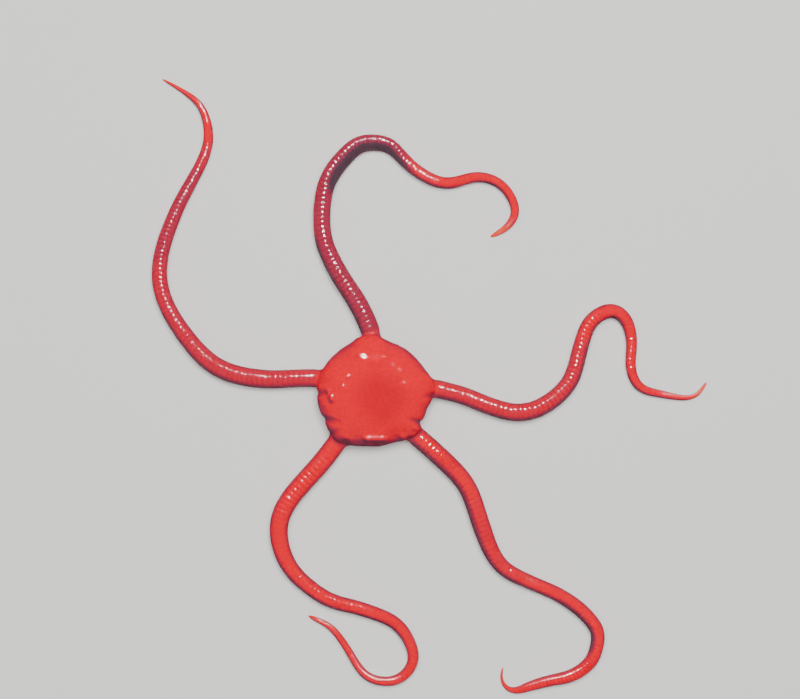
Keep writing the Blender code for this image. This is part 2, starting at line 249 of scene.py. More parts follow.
def disc_surface():
    """Points of the disc, row by row, about its own centre: mouth, underside, a quarter ellipse round the
    edge, and the top in even steps along its curve. Folds and wrinkles then move them along the normals."""
    azimuth = 2 * math.pi * np.arange(SPOKES)[None, :] / SPOKES
    rim = girth(azimuth)
    mouth_radius = np.repeat(MOUTH_PROFILE[:, :1], SPOKES, axis=1)
    mouth_share = 1 - MOUTH_PROFILE[:, 1:] / MOUTH_PROFILE[MOUTH_ROOF_ROW, 1]
    mouth_height = MOUTH_PROFILE[:, 1:] + under_height(azimuth, mouth_radius) * np.clip(mouth_share, 0, 1)
    share = np.linspace(0, 1, UNDER_ROWS + 1)[1:-1, None]
    lip = MOUTH_PROFILE[-1, 0]
    under_radius = lip + share * (rim - DISC_UNDERCUT - lip)
    angle = np.linspace(math.pi / 2, 0, EDGE_ROWS + 1)[:, None]
    edge_radius = rim - DISC_UNDERCUT * (1 - np.cos(angle))
    foot = under_height(azimuth, rim - DISC_UNDERCUT)
    edge_height = foot + (DISC_WAIST - foot) * (1 - np.sin(angle))
    fine = np.cos(np.linspace(0, math.pi / 2, CURVE_SAMPLES)) ** (2 / DISC_SQUARENESS)
    rise = (DISC_HEIGHT - DISC_WAIST) * (1 - fine**DISC_SQUARENESS) ** (1 / DISC_SQUARENESS)
    steps = np.linalg.norm(np.diff(np.stack([DISC_RADIUS * fine, rise])), axis=0)
    length = np.concatenate([[0], np.cumsum(steps)])
    top_share = np.interp(np.linspace(0, length[-1], TOP_ROWS + 1)[1:-1], length, fine)[:, None]
    radius = np.concatenate([mouth_radius, under_radius, edge_radius, top_share * rim])
    height = np.concatenate([
        mouth_height, under_height(azimuth, under_radius), edge_height, top_height(azimuth, top_share),
    ])
    points = np.stack([radius * np.cos(azimuth), radius * np.sin(azimuth), height], axis=-1)
    above = ease(height, *FOLD_HEIGHTS) * (radius > lip)
    rim_share = ease(radius / rim, *WRINKLE_SHARES)
    wrinkles = 1 - np.abs(smooth_noise(points, WRINKLE_SIZE, seed=7))
    wrinkles = WRINKLE_DEPTH * (wrinkles - WRINKLE_LEVEL)
    wrinkles *= WRINKLE_INSIDE + (1 - WRINKLE_INSIDE) * rim_share
    swell = SWELL_DEPTH * smooth_noise(points, SWELL_SIZE, seed=3)
    relief = (wrinkles + swell - fold_depth(points)) * above
    points = points + grid_normals(points) * relief[..., None]
    points[..., 2] += under_relief(points, radius > lip) * (1 - ease(height, *MARK_HEIGHTS))
    return points


disc_points = disc_surface()

# Arms: long unbranched lengths of jointed plates under the same skin, rounded above and flat below. Each is
# a ring of points carried along its route from the rim to the tip, five rings to each segment.
ROUTES = {
    "a": [
        (-6.8, 2.2), (-13.0, 2.4), (-20.5, 2.3), (-28.1, 4.0), (-33.2, 8.4), (-38.2, 16.7), (-38.8, 24.0),
        (-36.1, 32.3), (-31.2, 41.7), (-30.2, 46.5), (-31.6, 51.2), (-34.4, 53.8), (-38.6, 56.3),
    ],
    "b": [
        (0.1, 7.0), (-1.2, 11.4), (-3.4, 16.0), (-7.2, 22.0), (-9.8, 28.6), (-8.8, 37.4), (-3.9, 43.8),
        (-0.4, 44.8), (2.9, 44.1), (7.2, 39.9), (12.5, 37.4), (18.3, 38.5), (22.6, 37.0), (25.1, 32.6),
        (23.7, 29.6), (20.6, 27.9),
    ],
    "c": [
        (7.0, 1.2), (15.3, -0.8), (20.5, -2.8), (25.6, -3.9), (30.5, -2.4), (35.0, 1.8), (37.1, 8.6),
        (38.6, 12.4), (42.2, 14.6), (45.0, 13.0), (46.2, 9.0), (46.0, 4.4), (47.5, 0.8), (50.8, -0.4),
        (55.4, -1.3), (58.1, -0.7), (59.7, 1.5),
    ],
    "d": [
        (4.6, -5.7), (11.3, -11.5), (16.3, -17.0), (19.1, -24.2), (20.8, -28.7), (23.7, -32.4),
        (33.1, -36.9), (39.5, -42.5), (39.7, -46.4), (38.5, -49.2), (35.2, -51.5), (31.2, -52.3),
        (27.4, -53.3), (24.7, -54.1), (22.8, -52.3), (23.3, -50.0),
    ],
    "e": [
        (-4.4, -5.5), (-9.0, -12.0), (-16.9, -22.1), (-16.0, -30.8), (-9.4, -37.1), (-2.4, -39.4),
        (3.8, -42.3), (6.6, -47.7), (5.0, -51.2), (1.9, -52.4), (-2.1, -51.2), (-5.7, -45.8),
        (-8.3, -42.6), (-12.2, -40.6),
    ],
}
# Width of each arm, and how far it sways to the left of its route, at these shares of its length
STOPS = (0.0, 0.1, 0.2, 0.3, 0.4, 0.5, 0.6, 0.7, 0.8, 0.9, 0.95, 0.98)
WIDTHS = {
    "a": (3.3, 3.2, 3.4, 3.3, 2.95, 2.8, 2.6, 2.3, 1.9, 1.3, 0.8, 0.6),
    "b": (3.4, 3.5, 3.4, 3.1, 3.1, 2.9, 2.45, 2.2, 1.85, 1.6, 1.4, 1.1),
    "c": (3.4, 3.2, 3.2, 3.2, 3.0, 2.8, 2.6, 2.0, 1.75, 1.2, 0.85, 0.75),
    "d": (3.5, 3.5, 3.3, 3.25, 2.8, 2.5, 2.6, 2.45, 2.3, 1.8, 0.8, 0.5),
    "e": (3.4, 3.5, 3.5, 3.2, 2.8, 2.6, 2.35, 2.0, 1.65, 1.3, 1.2, 1.0),
}
SWAYS = {
    "a": (0.0, 0.1, 0.15, -0.1, 0.05, 0.05, -0.05, 0.0, 0.0, -0.1, 0.0, 0.0),
    "b": (0.0, 0.0, 0.0, -0.15, 0.1, 0.05, -0.2, -0.1, 0.15, 0.2, 0.0, 0.1),
    "c": (0.1, 0.1, 0.05, -0.1, 0.0, 0.05, 0.05, -0.05, -0.2, 0.05, -0.05, 0.1),
    "d": (-0.1, -0.1, 0.0, -0.15, -0.05, -0.1, 0.25, 0.0, -0.15, 0.0, 0.3, 0.4),
    "e": (0.0, -0.1, -0.15, -0.1, -0.1, 0.0, 0.2, 0.25, 0.0, -0.05, -0.1, 0.0),
}
ROUTE_SOFTNESS = 1.6
ROUTE_STEP = 0.1
CURVE_STEPS = 60
RIM_SEARCH_STEPS = 200
# Stretches where an arm leans over on its side: from and to as shares of its length, and how far the crest
# moves to the right as a share of the half-width
LEANS = {"a": (), "b": ((0.38, 0.62, -0.34),), "c": (), "d": (), "e": ()}
LEAN_FADE = 0.05
ARM_WIDTH = 3.45
ARM_FLATNESS = 0.88
ARM_TIP_BLUNTNESS = 60
FLAT_ANGLE = math.radians(-72)
ARM_START = 0.8
SEGMENT_PITCH = 0.95
SEGMENT_SHORTENING = 0.195
RING_PHASES = np.array([0.0, 0.12, 0.38, 0.66, 0.88])
AROUND = 28
LAST_RING_BACK = 0.02

# Relief of a segment: it bulges between two grooves, unevenly from one to the next, and dies away on the
# thin tails and on the flat belly
RELIEF_FADING = 0.6
DORSAL_BULGE = 0.08
LATERAL_BULGE = 0.02
BULGE_POWER = 2.3
BULGE_LEVEL = 0.6
BULGE_UNEVENNESS = 0.3
CREST_WAVE = 0.03
BACK_SQUARENESS = 2.25
BACK_FADE = (-0.12, 0.22)
BELLY_FADE = (0.55, 0.85)
BELLY_GROOVE = 0.05
BELLY_GROOVE_POWER = 0.35
FURROW_DEPTH = 0.03
FURROW_SPREAD = 0.17
FURROW_ANGLE = math.radians(40)
GROOVE_BOW = 0.10
GROOVE_SKEW = 0.05
NO_ZERO = 1e-9


def soften(values):
    """Values along a route, each replaced by a bell-weighted mean of those near it; the ends stay."""
    reach = round(2 * ROUTE_SOFTNESS / ROUTE_STEP)
    weights = bell(np.arange(-reach, reach + 1) * ROUTE_STEP, ROUTE_SOFTNESS)
    before = 2 * values[0] - values[reach:0:-1]
    after = 2 * values[-1] - values[-2:-reach - 2:-1]
    return np.convolve(np.concatenate([before, values, after]), weights / weights.sum(), "valid")


class ArmRoute:
    """Middle line of an arm over the floor, with its width, by the number of segments from the rim."""

    def __init__(self, name):
        stops = np.array(ROUTES[name])
        ends = np.concatenate([[2 * stops[0] - stops[1]], stops, [2 * stops[-1] - stops[-2]]])
        t = np.arange(CURVE_STEPS)[None, :, None] / CURVE_STEPS
        before, start, stop, after = (ends[i:len(ends) - 3 + i, None, :] for i in range(4))
        slope_in = (stop - before) / 2
        slope_out = (after - start) / 2
        bend = 3 * (stop - start) - 2 * slope_in - slope_out
        twist = 2 * (start - stop) + slope_in + slope_out
        line = (start + slope_in * t + bend * t**2 + twist * t**3).reshape(-1, 2)
        line = np.concatenate([line, stops[-1:]])
        run = np.concatenate([[0], np.cumsum(np.linalg.norm(np.diff(line, axis=0), axis=1))])
        even = np.linspace(0, run[-1], round(run[-1] / ROUTE_STEP) + 1)
        line = np.stack([np.interp(even, run, line[:, i]) for i in (0, 1)], axis=1)
        heading = unit(np.gradient(line, axis=0))
        sway = np.interp(even / even[-1], STOPS, SWAYS[name])[:, None]
        line = line + sway * np.stack([-heading[:, 1], heading[:, 0]], axis=1)
        self.points = np.stack([soften(line[:, i]) for i in (0, 1)], axis=1)
        self.widths = soften(np.interp(even / even[-1], STOPS, WIDTHS[name]))
        steps = np.linalg.norm(np.diff(self.points, axis=0), axis=1)
        self.distances = np.concatenate([[0], np.cumsum(steps)])
        self.length = self.distances[-1]
        self.leans = LEANS[name]
        self.headings = unit(np.gradient(self.points, axis=0))
        first = self.points[:RIM_SEARCH_STEPS]
        past_rim = np.linalg.norm(first, axis=1) - girth(np.arctan2(first[:, 1], first[:, 0]))
        self.rim_distance = np.interp(0.0, past_rim, self.distances[:RIM_SEARCH_STEPS])
        self.start = self.rim_distance + ARM_START
        self.segments = round((self.length - self.start) * (1 + SEGMENT_SHORTENING) / SEGMENT_PITCH)
        draw = np.random.default_rng(ord(name))
        self.unevenness = draw.uniform(-1, 1, (3, self.segments + 2))

    def distance(self, run):
        """Distance along the line of a segment number, with segments that shorten evenly to the tip."""
        t = run / self.segments
        return self.start + (self.length - self.start) * t * (1 + SEGMENT_SHORTENING * (1 - t))

    def width(self, distance):
        """Width as given along the arm, closed to a rounded point at the tip."""
        share = np.clip(distance / self.length, 0, 1)
        return np.interp(distance, self.distances, self.widths) * np.sqrt(1 - share**ARM_TIP_BLUNTNESS)

    def surface(self, run, angle):
        """Points on the arm at segment numbers and angles (0 to the right, a quarter turn on top), and the
        outward normals. The section is an ellipse cut flat below; each segment bulges by a power curve of
        its phase, more along the back than down the sides, and a furrow parts the back from the sides."""
        run, angle = np.broadcast_arrays(run, angle)
        phase = run - np.floor(run)
        number = np.clip(np.floor(run).astype(int), 0, self.segments + 1)
        across_wave, strength, skew = (values[number] for values in self.unevenness)
        up = np.sin(angle)
        back = ease(up - math.sin(FURROW_ANGLE), *BACK_FADE)
        belly = ease(-up, *BELLY_FADE)
        bulge = 1 - np.abs(2 * phase - 1) ** BULGE_POWER
        distance = self.distance(run)
        width = self.width(distance)
        scale = width / ARM_WIDTH
        bow = GROOVE_BOW * np.cos(2 * angle) * scale + GROOVE_SKEW * skew * np.cos(angle) * scale * bulge
        distance = np.clip(distance - bow, 0, self.length)
        place = np.stack([np.interp(distance, self.distances, self.points[:, i]) for i in (0, 1)], axis=-1)
        heading = unit(
            np.stack([np.interp(distance, self.distances, self.headings[:, i]) for i in (0, 1)], axis=-1)
        )
        relief = DORSAL_BULGE * (1 + BULGE_UNEVENNESS * strength) * (bulge - BULGE_LEVEL) * back
        relief += LATERAL_BULGE * (bulge - BULGE_LEVEL) * (1 - back) * (1 - belly)
        relief += CREST_WAVE * across_wave * np.cos(3 * angle) * bulge * back
        for furrow in (FURROW_ANGLE, math.pi - FURROW_ANGLE):
            relief -= FURROW_DEPTH * bell(angle - furrow, FURROW_SPREAD)
        relief = relief * scale**RELIEF_FADING * (1 - belly)
        half_width = width / 2
        half_height = half_width * ARM_FLATNESS
        normal = np.stack([np.cos(angle) * half_height, np.sin(angle) * half_width], axis=-1)
        normal = unit(normal + NO_ZERO)
        square = np.where(up > 0, 2 / BACK_SQUARENESS, 1.0)
        cosine = np.sign(np.cos(angle)) * np.abs(np.cos(angle)) ** square
        sine = np.sign(up) * np.abs(up) ** square
        sideways = cosine * half_width + normal[..., 0] * relief
        height = (sine - math.sin(FLAT_ANGLE)) * half_height + normal[..., 1] * relief
        share = distance / self.length
        lean = sum(
            far * ease(share, first, first + LEAN_FADE) * (1 - ease(share, last - LEAN_FADE, last))
            for first, last, far in self.leans
        )
        sideways = sideways + lean * half_width * (height / half_height - 1) * ease(height, 0, half_height)
        height = np.maximum(height, 0) + BELLY_GROOVE * scale * (1 - bulge**BELLY_GROOVE_POWER) * belly
        right = np.stack([heading[..., 1], -heading[..., 0]], axis=-1)
        points = np.concatenate([place + right * sideways[..., None], height[..., None]], axis=-1)
        normals = np.concatenate([right * normal[..., :1], normal[..., 1:]], axis=-1)
        headings = np.concatenate([heading, np.zeros_like(height)[..., None]], axis=-1)
        return points, normals, headings


arm_routes = {name: ArmRoute(name) for name in ROUTES}

# Skin: the disc and the arms joined into one closed surface. Where an arm leaves the rim, a window in the
# disc's grid is bridged to the arm's first ring by curves that leave the rim along its slope and run into
# the arm along its heading, and the corner between them is then relaxed to a soft fillet.
WINDOW_SPOKES = 16
WINDOW_ROWS = 12
BRIDGE_ROWS = 7
BRIDGE_PULL = 0.9
BRIDGE_SOFTNESS = 0.8
EDGE_SOFTNESS = 0.5
SOFT_HEIGHTS = (0.3, 1.2)
RELAX_ROUNDS = 6
# Skin colours: the mauve is partly the skin's own colour down the flanks and partly painted shade, and the
# dark grey-purple is painted shade
SKIN_COLOURS = {
    "scarlet": "#F40A28",
    "crimson": "#DC0A28",
    "mauve": "#85384F",
    "painted_shade": "#573E49",
    "grain": "#3C1722",
    "tip coral": "#EE5A3C",
    "oral pink": "#D9908C",
}

# Painted shade: on what faces down the picture and to the left, and on parts of the arms, given as
# from and to along the arm, side (-1 left, 1 right, 0 both), how far from the crest it starts, and strength
PAINTED_SHADE_SIDE = np.array([-0.50, -0.85, -0.10])
PAINTED_SHADE_STRENGTH = 0.85
PAINTED_SHADE_FADE = (0.08, 0.85)
PAINTED_SHADE_PATCHES = {
    "a": (
        (-0.05, 0.85, 0, 0.0, 0.26), (-0.05, 0.26, -1, 0.5, 0.6), (0.50, 0.80, 0, 0.0, 0.36),
        (0.3, 0.8, 1, 0.6, 0.5),
    ),
    "b": (
        (-0.05, 0.66, 0, 0.0, 0.40), (-0.05, 0.32, -1, 0.55, 1.0), (0.35, 0.675, 1, 0.15, 1.0),
        (-0.05, 0.62, 1, 0.6, 0.6), (0.36, 0.62, -1, 0.5, 0.6),
    ),
    "c": (
        (-0.05, 0.54, 0, 0.0, 0.22), (-0.05, 0.55, 1, 0.5, 0.75), (0.3, 0.52, -1, 0.6, 0.5),
        (0.48, 0.64, 1, 0.6, 0.6),
    ),
    "d": ((-0.05, 0.50, 1, 0.45, 0.8), (0.20, 0.50, 0, 0.0, 0.15), (0.52, 0.76, 1, 0.4, 0.85)),
    "e": ((0.10, 0.60, 1, 0.7, 0.5), (0.60, 0.75, 1, 0.5, 0.4)),
}
PATCH_START = 0.05
PATCH_END = 0.06
PATCH_FLANK = (-0.35, 0.45)
# Painted shade in the folds and in the grooves between segments; above each arm's root the disc stays red,
# with less painted shade
FOLD_PAINTED_SHADE = 0.95
FOLD_PAINTED_SHADE_SPREAD = 1.3
FOLD_PAINTED_SHADE_DEPTHS = (0.02, 0.48)
FOLD_PAINTED_SHADE_HEIGHTS = (1.0, 2.4)
GROOVE_PAINTED_SHADE = 0.4
GROOVE_SPREAD = 0.13
GROOVE_FADE = (0.5, 0.9)
ROOT_RED = {"a": 1.0, "b": 0.7, "c": 0.9, "d": 0.2, "e": 0.35}
ROOT_RED_SPREAD = math.radians(10)
ROOT_RED_HEIGHTS = (1.8, 2.9)
ROOT_RED_LIFT = 0.9
ROOT_RED_CLEARING = 0.7
# Pale skin below, and how pale each arm's tip is
UNDERSIDE_HEIGHTS = (0.15, 1.3)
BRIDGE_UNDERSIDE_HEIGHTS = (0.15, 1.0)
BELLY_PALE = (0.45, 0.85)
TIP_PALLOR = {"a": 0.15, "b": 0.9, "c": 1.0, "d": 0.5, "e": 0.1}
TIP_START = (0.94, 0.985)

# Where the film of water is thick enough to shine: stretches of the arms as from, to and strength, and lines
# on the disc as start, end, half-width, strength and how beaded the skin is there
WET_STRETCHES = {
    "a": (
        (0.00, 0.17, 0.35), (0.17, 0.37, 0.2), (0.37, 0.58, 0.35), (0.58, 0.68, 0.22), (0.68, 0.81, 0.5),
        (0.86, 0.92, 0.8),
    ),
    "b": (
        (0.00, 0.06, 0.3), (0.06, 0.13, 0.16), (0.13, 0.22, 0.5), (0.22, 0.62, 0.45), (0.62, 0.71, 0.5),
        (0.94, 0.985, 1.0),
    ),
    "c": (
        (0.00, 0.05, 0.2), (0.05, 0.24, 0.5), (0.24, 0.44, 0.28), (0.44, 0.57, 0.5), (0.69, 0.77, 0.6),
        (0.88, 0.97, 1.0),
    ),
    "d": ((0.00, 0.11, 0.4), (0.40, 0.43, 0.2), (0.46, 0.50, 0.2), (0.75, 0.92, 0.5)),
    "e": (
        (0.09, 0.12, 0.15), (0.13, 0.25, 0.2), (0.38, 0.41, 0.2), (0.42, 0.56, 0.08), (0.64, 0.70, 0.9),
        (0.70, 0.80, 0.9), (0.80, 0.88, 1.0), (0.94, 0.98, 1.0),
    ),
}
WET_LINES = np.array([
    (-2.2, 6.35, -1.9, 6.3, 0.38, 0.6, 0.0),
    (1.2, 6.5, 1.4, 6.2, 0.22, 0.06, 0.2),
    (2.7, 5.5, 3.1, 4.9, 0.28, 0.12, 0.2),
    (4.3, 3.8, 4.8, 4.1, 0.30, 0.05, 0.35),
    (5.2, 1.7, 5.3, 1.6, 0.28, 0.10, 0.35),
    (-5.1, 2.8, -5.0, 2.9, 0.28, 0.18, 0.30),
    (-5.8, 0.9, -5.8, 1.0, 0.30, 0.3, 0.30),
    (-9.1, 1.3, -7.9, 0.2, 0.36, 0.7, 0.5),
    (-7.6, -0.7, -7.6, -1.6, 0.42, 1.0, 0.3),
    (-7.7, -1.6, -8.6, -1.7, 0.34, 1.0, 0.5),
    (-6.0, -6.9, -4.7, -7.6, 0.32, 0.5, 0.4),
    (-5.4, -7.9, -4.9, -8.2, 0.36, 0.8, 0.4),
    (-1.6, -8.05, -1.0, -8.15, 0.20, 0.35, 0.1),
    (-0.1, -8.1, 0.2, -8.1, 0.15, 0.10, 0.1),
    (1.0, -8.15, 1.2, -8.15, 0.18, 0.4, 0.1),
    (1.7, -8.05, 1.8, -8.05, 0.15, 0.25, 0.1),
    (3.1, -6.2, 3.9, -6.2, 0.36, 0.6, 0.4),
    (5.0, -6.3, 5.0, -8.0, 0.34, 0.8, 0.45),
    (5.9, -7.5, 6.0, -7.6, 0.30, 0.9, 0.45),
    (6.3, -9.2, 6.7, -9.3, 0.30, 0.9, 0.4),
])
WET_HEIGHTS = (2.4, 3.2)
WET_FADE = 0.006
ROOT_SHARE = 0.01
ARM_BEADS = 0.2
BEADS_FADE = (0.6, 0.85)

# Patterns of the skin, as size in millimetres, detail and roughness of a noise: blotches on the back, uneven
# lower edges of the red, the skin's grain, shallow dents, and the knobs that break up a glint. Pebbles are
# the fine bumps of the leathery skin.
SKIN_NOISES = {
    "blotches": (5.0, 2.0, 0.5),
    "edges": (1.1, 2.0, 0.5),
    "grains": (0.45, 3.0, 0.5),
    "dents": (0.9, 3.0, 0.6),
    "knobs": (0.7, 1.0, 0.5),
}
PEBBLE_SIZE = 0.22
CRIMSON_MIDDLE = np.array([0.9, -1.2, 5.0])
CRIMSON_RADII = (6.5, 2.0)
EDGE_UNEVENNESS = 0.2
FILM_EVERYWHERE = 0.002


def window_loop(rows, spokes):
    """Grid places round a window, from its lower corner of least azimuth, anticlockwise from outside."""
    low, high = rows
    first, last = spokes
    loop = [(low, j) for j in range(first, last)]
    loop += [(i, last) for i in range(low, high)]
    loop += [(high, j) for j in range(last, first, -1)]
    loop += [(i, first) for i in range(high, low, -1)]
    return np.array(loop)


def bridge(edge, slope, ring, heading):
    """Rows of points from a window's edge to a ring: Hermite curves with their end slopes as given."""
    t = np.linspace(0, 1, BRIDGE_ROWS + 1)[1:, None, None]
    reach = np.linalg.norm(ring - edge, axis=-1, keepdims=True) * BRIDGE_PULL
    return (
        (2 * t**3 - 3 * t**2 + 1) * edge
        + (t**3 - 2 * t**2 + t) * slope * reach
        + (3 * t**2 - 2 * t**3) * ring
        + (t**3 - t**2) * heading * reach
    )


def relax(points, edges, softness, rounds):
    """Moves each point towards the mean of its neighbours, by its softness, over several rounds."""
    count = np.bincount(edges.ravel(), minlength=len(points))[:, None]
    for _ in range(rounds):
        total = np.stack(
            [
                np.bincount(edges[:, 0], points[edges[:, 1], axis], len(points))
                + np.bincount(edges[:, 1], points[edges[:, 0], axis], len(points))
                for axis in range(3)
            ],
            axis=1,
        )
        points = points + (total / np.maximum(count, 1) - points) * softness[:, None]
    return points


def linear(colour):
    """Linear red, green, blue and alpha of an sRGB hex colour."""
    values = [int(colour[i:i + 2], 16) / 255 for i in (1, 3, 5)]
    return (*((v / 12.92 if v <= 0.04045 else ((v + 0.055) / 1.055) ** 2.4) for v in values), 1.0)


def set_inputs(tree, node, inputs):
    """Sets or links inputs of a node, each by name or number."""
    for socket, value in inputs.items():
        if isinstance(value, bpy.types.NodeSocket):
            tree.links.new(value, node.inputs[socket])
        else:
            node.inputs[socket].default_value = value


def add_node(tree, kind, inputs=None, **settings):
    """Adds a node with its properties and its inputs."""
    node = tree.nodes.new(kind)
    for name, value in settings.items():
        setattr(node, name, value)
    set_inputs(tree, node, inputs or {})
    return node


def make_mesh(name, points, faces, **attributes):
    """Object over points in millimetres and faces, smoothly shaded, with an attribute on its points."""
    mesh = bpy.data.meshes.new(name)
    mesh.from_pydata((points * MM).tolist(), [], faces)
    mesh.shade_smooth()
    for label, values in attributes.items():
        layer = mesh.attributes.new(label, "FLOAT_VECTOR", "POINT")
        layer.data.foreach_set("vector", np.ascontiguousarray(values, dtype=np.float32).ravel())
    piece = bpy.data.objects.new(name, mesh)
    bpy.context.scene.collection.objects.link(piece)
    return piece


def painted_shade(normals):
    """Painted shade: a smooth step of how far the skin faces down the picture and to the left."""
    return PAINTED_SHADE_STRENGTH * ease(normals @ unit(PAINTED_SHADE_SIDE), *PAINTED_SHADE_FADE)


def arm_painted_shade(name, along, cosine, normals):
    """Painted shade on an arm, with its patches of painted shade, each faded over a little of the length and
    of the section.
    """
    dark = painted_shade(normals)
    for first, last, side, start, strength in PAINTED_SHADE_PATCHES[name]:
        inside = ease(along, first, first + PATCH_START) * (1 - ease(along, last - PATCH_END, last))
        flank = ease(cosine * side - start, *PATCH_FLANK) if side else 1.0
        dark = np.maximum(dark, strength * inside * flank)
    return dark


def arm_wetness(name, along):
    """How wet an arm is: the strongest of its stretches, each faded at its ends."""
    return np.max([
        strength
        * ease(along, first - WET_FADE, first + WET_FADE)
        * (1 - ease(along, last - WET_FADE, last + WET_FADE))
        for first, last, strength in WET_STRETCHES[name]
    ], axis=0)


def strips(index):
    """Four-sided faces between each closed row of places and the next."""
    following = np.roll(index, -1, axis=1)
    return np.stack([index[:-1], following[:-1], following[1:], index[1:]], axis=-1).reshape(-1, 4).tolist()


def keep_used(points, faces, *attributes):
    """Leaves out points that no face uses, such as those inside the windows."""
    used = np.zeros(len(points), bool)
    used[np.concatenate([np.array(face) for face in faces])] = True
    renumbered = np.cumsum(used) - 1
    faces = [[int(renumbered[k]) for k in face] for face in faces]
    return (points[used] + DISC_CENTRE, faces, *(values[used] for values in attributes))


def make_skin():
    """Joins the disc's grid and the arms' rings. Returns points, faces and two attributes: skin_part is how
    far the skin faces up, how far it is underside, and how pale a tip is; the second is painted shade,
    wetness and beads."""
    rows = disc_points.shape[0]
    normals = grid_normals(disc_points)
    index = np.arange(rows * SPOKES).reshape(rows, SPOKES)
    kept = np.ones((rows - 1, SPOKES), bool)
    height = disc_points[..., 2]
    under = 1 - ease(height, *UNDERSIDE_HEIGHTS)
    under[:len(MOUTH_PROFILE)] = 1.0
    azimuth = np.arctan2(disc_points[..., 1], disc_points[..., 0])
    by_arm = over_arms(azimuth, ROOT_RED_SPREAD, ROOT_RED) * ease(height, *ROOT_RED_HEIGHTS)
    up = np.clip(normals[..., 2] + ROOT_RED_LIFT * by_arm, -1, 1)
    # Painted shade in the folds and on what faces down the picture and to the left, with less of it above
    # each arm's root
    fold_painted_shade = FOLD_PAINTED_SHADE * ease(fold_depth(disc_points, FOLD_PAINTED_SHADE_SPREAD), *FOLD_PAINTED_SHADE_DEPTHS)
    fold_painted_shade = fold_painted_shade * ease(height, *FOLD_PAINTED_SHADE_HEIGHTS)
    dark = np.maximum(painted_shade(normals) * (1 - ROOT_RED_CLEARING * by_arm), fold_painted_shade)
    spots = np.array([near_line(disc_points, *line) for *line, _, _ in WET_LINES])
    wet, beads = (
        np.max(spots * levels[:, None, None], axis=0) * ease(height, *WET_HEIGHTS)
        for levels in WET_LINES[:, -2:].T
    )
    points = [disc_points.reshape(-1, 3)]
    parts = [np.stack([up, under, np.zeros_like(up)], axis=-1).reshape(-1, 3)]
    shade_and_film_rows = [np.stack([dark, wet, beads], axis=-1).reshape(-1, 3)]
    softness = [np.zeros(up.size)]
    faces = []
    total = rows * SPOKES
    low = len(MOUTH_PROFILE) + UNDER_ROWS - 1
    window_rows = (low, low + WINDOW_ROWS)
    for name, route in arm_routes.items():
        # Window in the rim where the arm leaves it, and the bridge from its edge to the arm's first ring
        exit_point = [np.interp(route.rim_distance, route.distances, route.points[:, i]) for i in (0, 1)]
        azimuth = math.atan2(exit_point[1], exit_point[0])
        first = round(azimuth / (2 * math.pi) * SPOKES) - WINDOW_SPOKES // 2
        loop = window_loop(window_rows, (first, first + WINDOW_SPOKES))
        kept[window_rows[0]:window_rows[1], np.arange(first, first + WINDOW_SPOKES) % SPOKES] = False
        i, j = loop[:, 0], loop[:, 1] % SPOKES
        edge = disc_points[i, j]
        half = np.array([WINDOW_ROWS / 2, WINDOW_SPOKES / 2])
        from_middle = loop - (np.array([low, first]) + half)
        inner = (loop - np.sign(from_middle) * (np.abs(from_middle) >= half)).astype(int)
        slope = unit(disc_points[inner[:, 0], inner[:, 1] % SPOKES] - edge)
        slope = unit(np.roll(slope, 1, axis=0) + 2 * slope + np.roll(slope, -1, axis=0))
        loop_angle = math.radians(-90) + 2 * math.pi * (WINDOW_SPOKES / 2 - np.arange(len(loop))) / len(loop)
        ring, ring_normals, heading = route.surface(np.zeros(1), loop_angle)
        rungs = bridge(edge, slope, ring, heading)
        rung_index = total + np.arange(rungs[..., 0].size).reshape(rungs.shape[:2])
        total += rung_index.size
        ladder = np.concatenate([index[i, j][None, :], rung_index])
        faces += strips(ladder)
        share = np.linspace(0, 1, BRIDGE_ROWS + 1)[1:, None] * np.ones(len(loop))
        loop_up = (1 - share) * up[i, j] + share * np.sin(loop_angle)
        # Painted shade on the bridge, blended from the disc's into the arm's
        ring_dark = arm_painted_shade(name, np.zeros(1), np.cos(loop_angle), ring_normals)
        loop_dark = (1 - share) * dark[i, j] + share * ring_dark
        loop_wet = share * arm_wetness(name, np.full(1, ROOT_SHARE))
        loop_under = 1 - ease(rungs[..., 2], *BRIDGE_UNDERSIDE_HEIGHTS)
        points.append(rungs.reshape(-1, 3))
        parts.append(np.stack([loop_up, loop_under, np.zeros_like(share)], axis=-1).reshape(-1, 3))
        shade_and_film_rows.append(np.stack([loop_dark, loop_wet, ARM_BEADS * share], axis=-1).reshape(-1, 3))
        soft = np.sin(np.pi * share) * ease(rungs[..., 2], *SOFT_HEIGHTS)
        softness.append((BRIDGE_SOFTNESS * soft).ravel())
        softness[0][index[i, j]] = EDGE_SOFTNESS * ease(edge[:, 2], *SOFT_HEIGHTS)

        # Tube of the arm, with one point to two of the bridge's, so that five-sided faces join them
        run = np.concatenate([
            (np.arange(route.segments)[:, None] + RING_PHASES).ravel()[1:], [route.segments - LAST_RING_BACK],
        ])[:, None]
        angle = loop_angle[None, ::2]
        tube, tube_normals, _ = route.surface(run, angle)
        tube_index = total + np.arange(tube[..., 0].size).reshape(tube.shape[:2])
        total += tube_index.size
        outer = rung_index[-1]
        faces += np.stack(
            [outer[0::2], outer[1::2], np.roll(outer, -2)[0::2], np.roll(tube_index[0], -1), tube_index[0]],
            axis=1,
        ).tolist()
        faces += strips(tube_index)
        points.append(tube.reshape(-1, 3))
        run_here, angle_here = (grid.ravel() for grid in np.broadcast_arrays(run, angle))
        along = route.distance(run_here) / route.length
        tube_up = np.sin(angle_here)
        pallor = TIP_PALLOR[name] * ease(along, *TIP_START)
        parts.append(np.stack([tube_up, ease(-tube_up, *BELLY_PALE), pallor], axis=1))
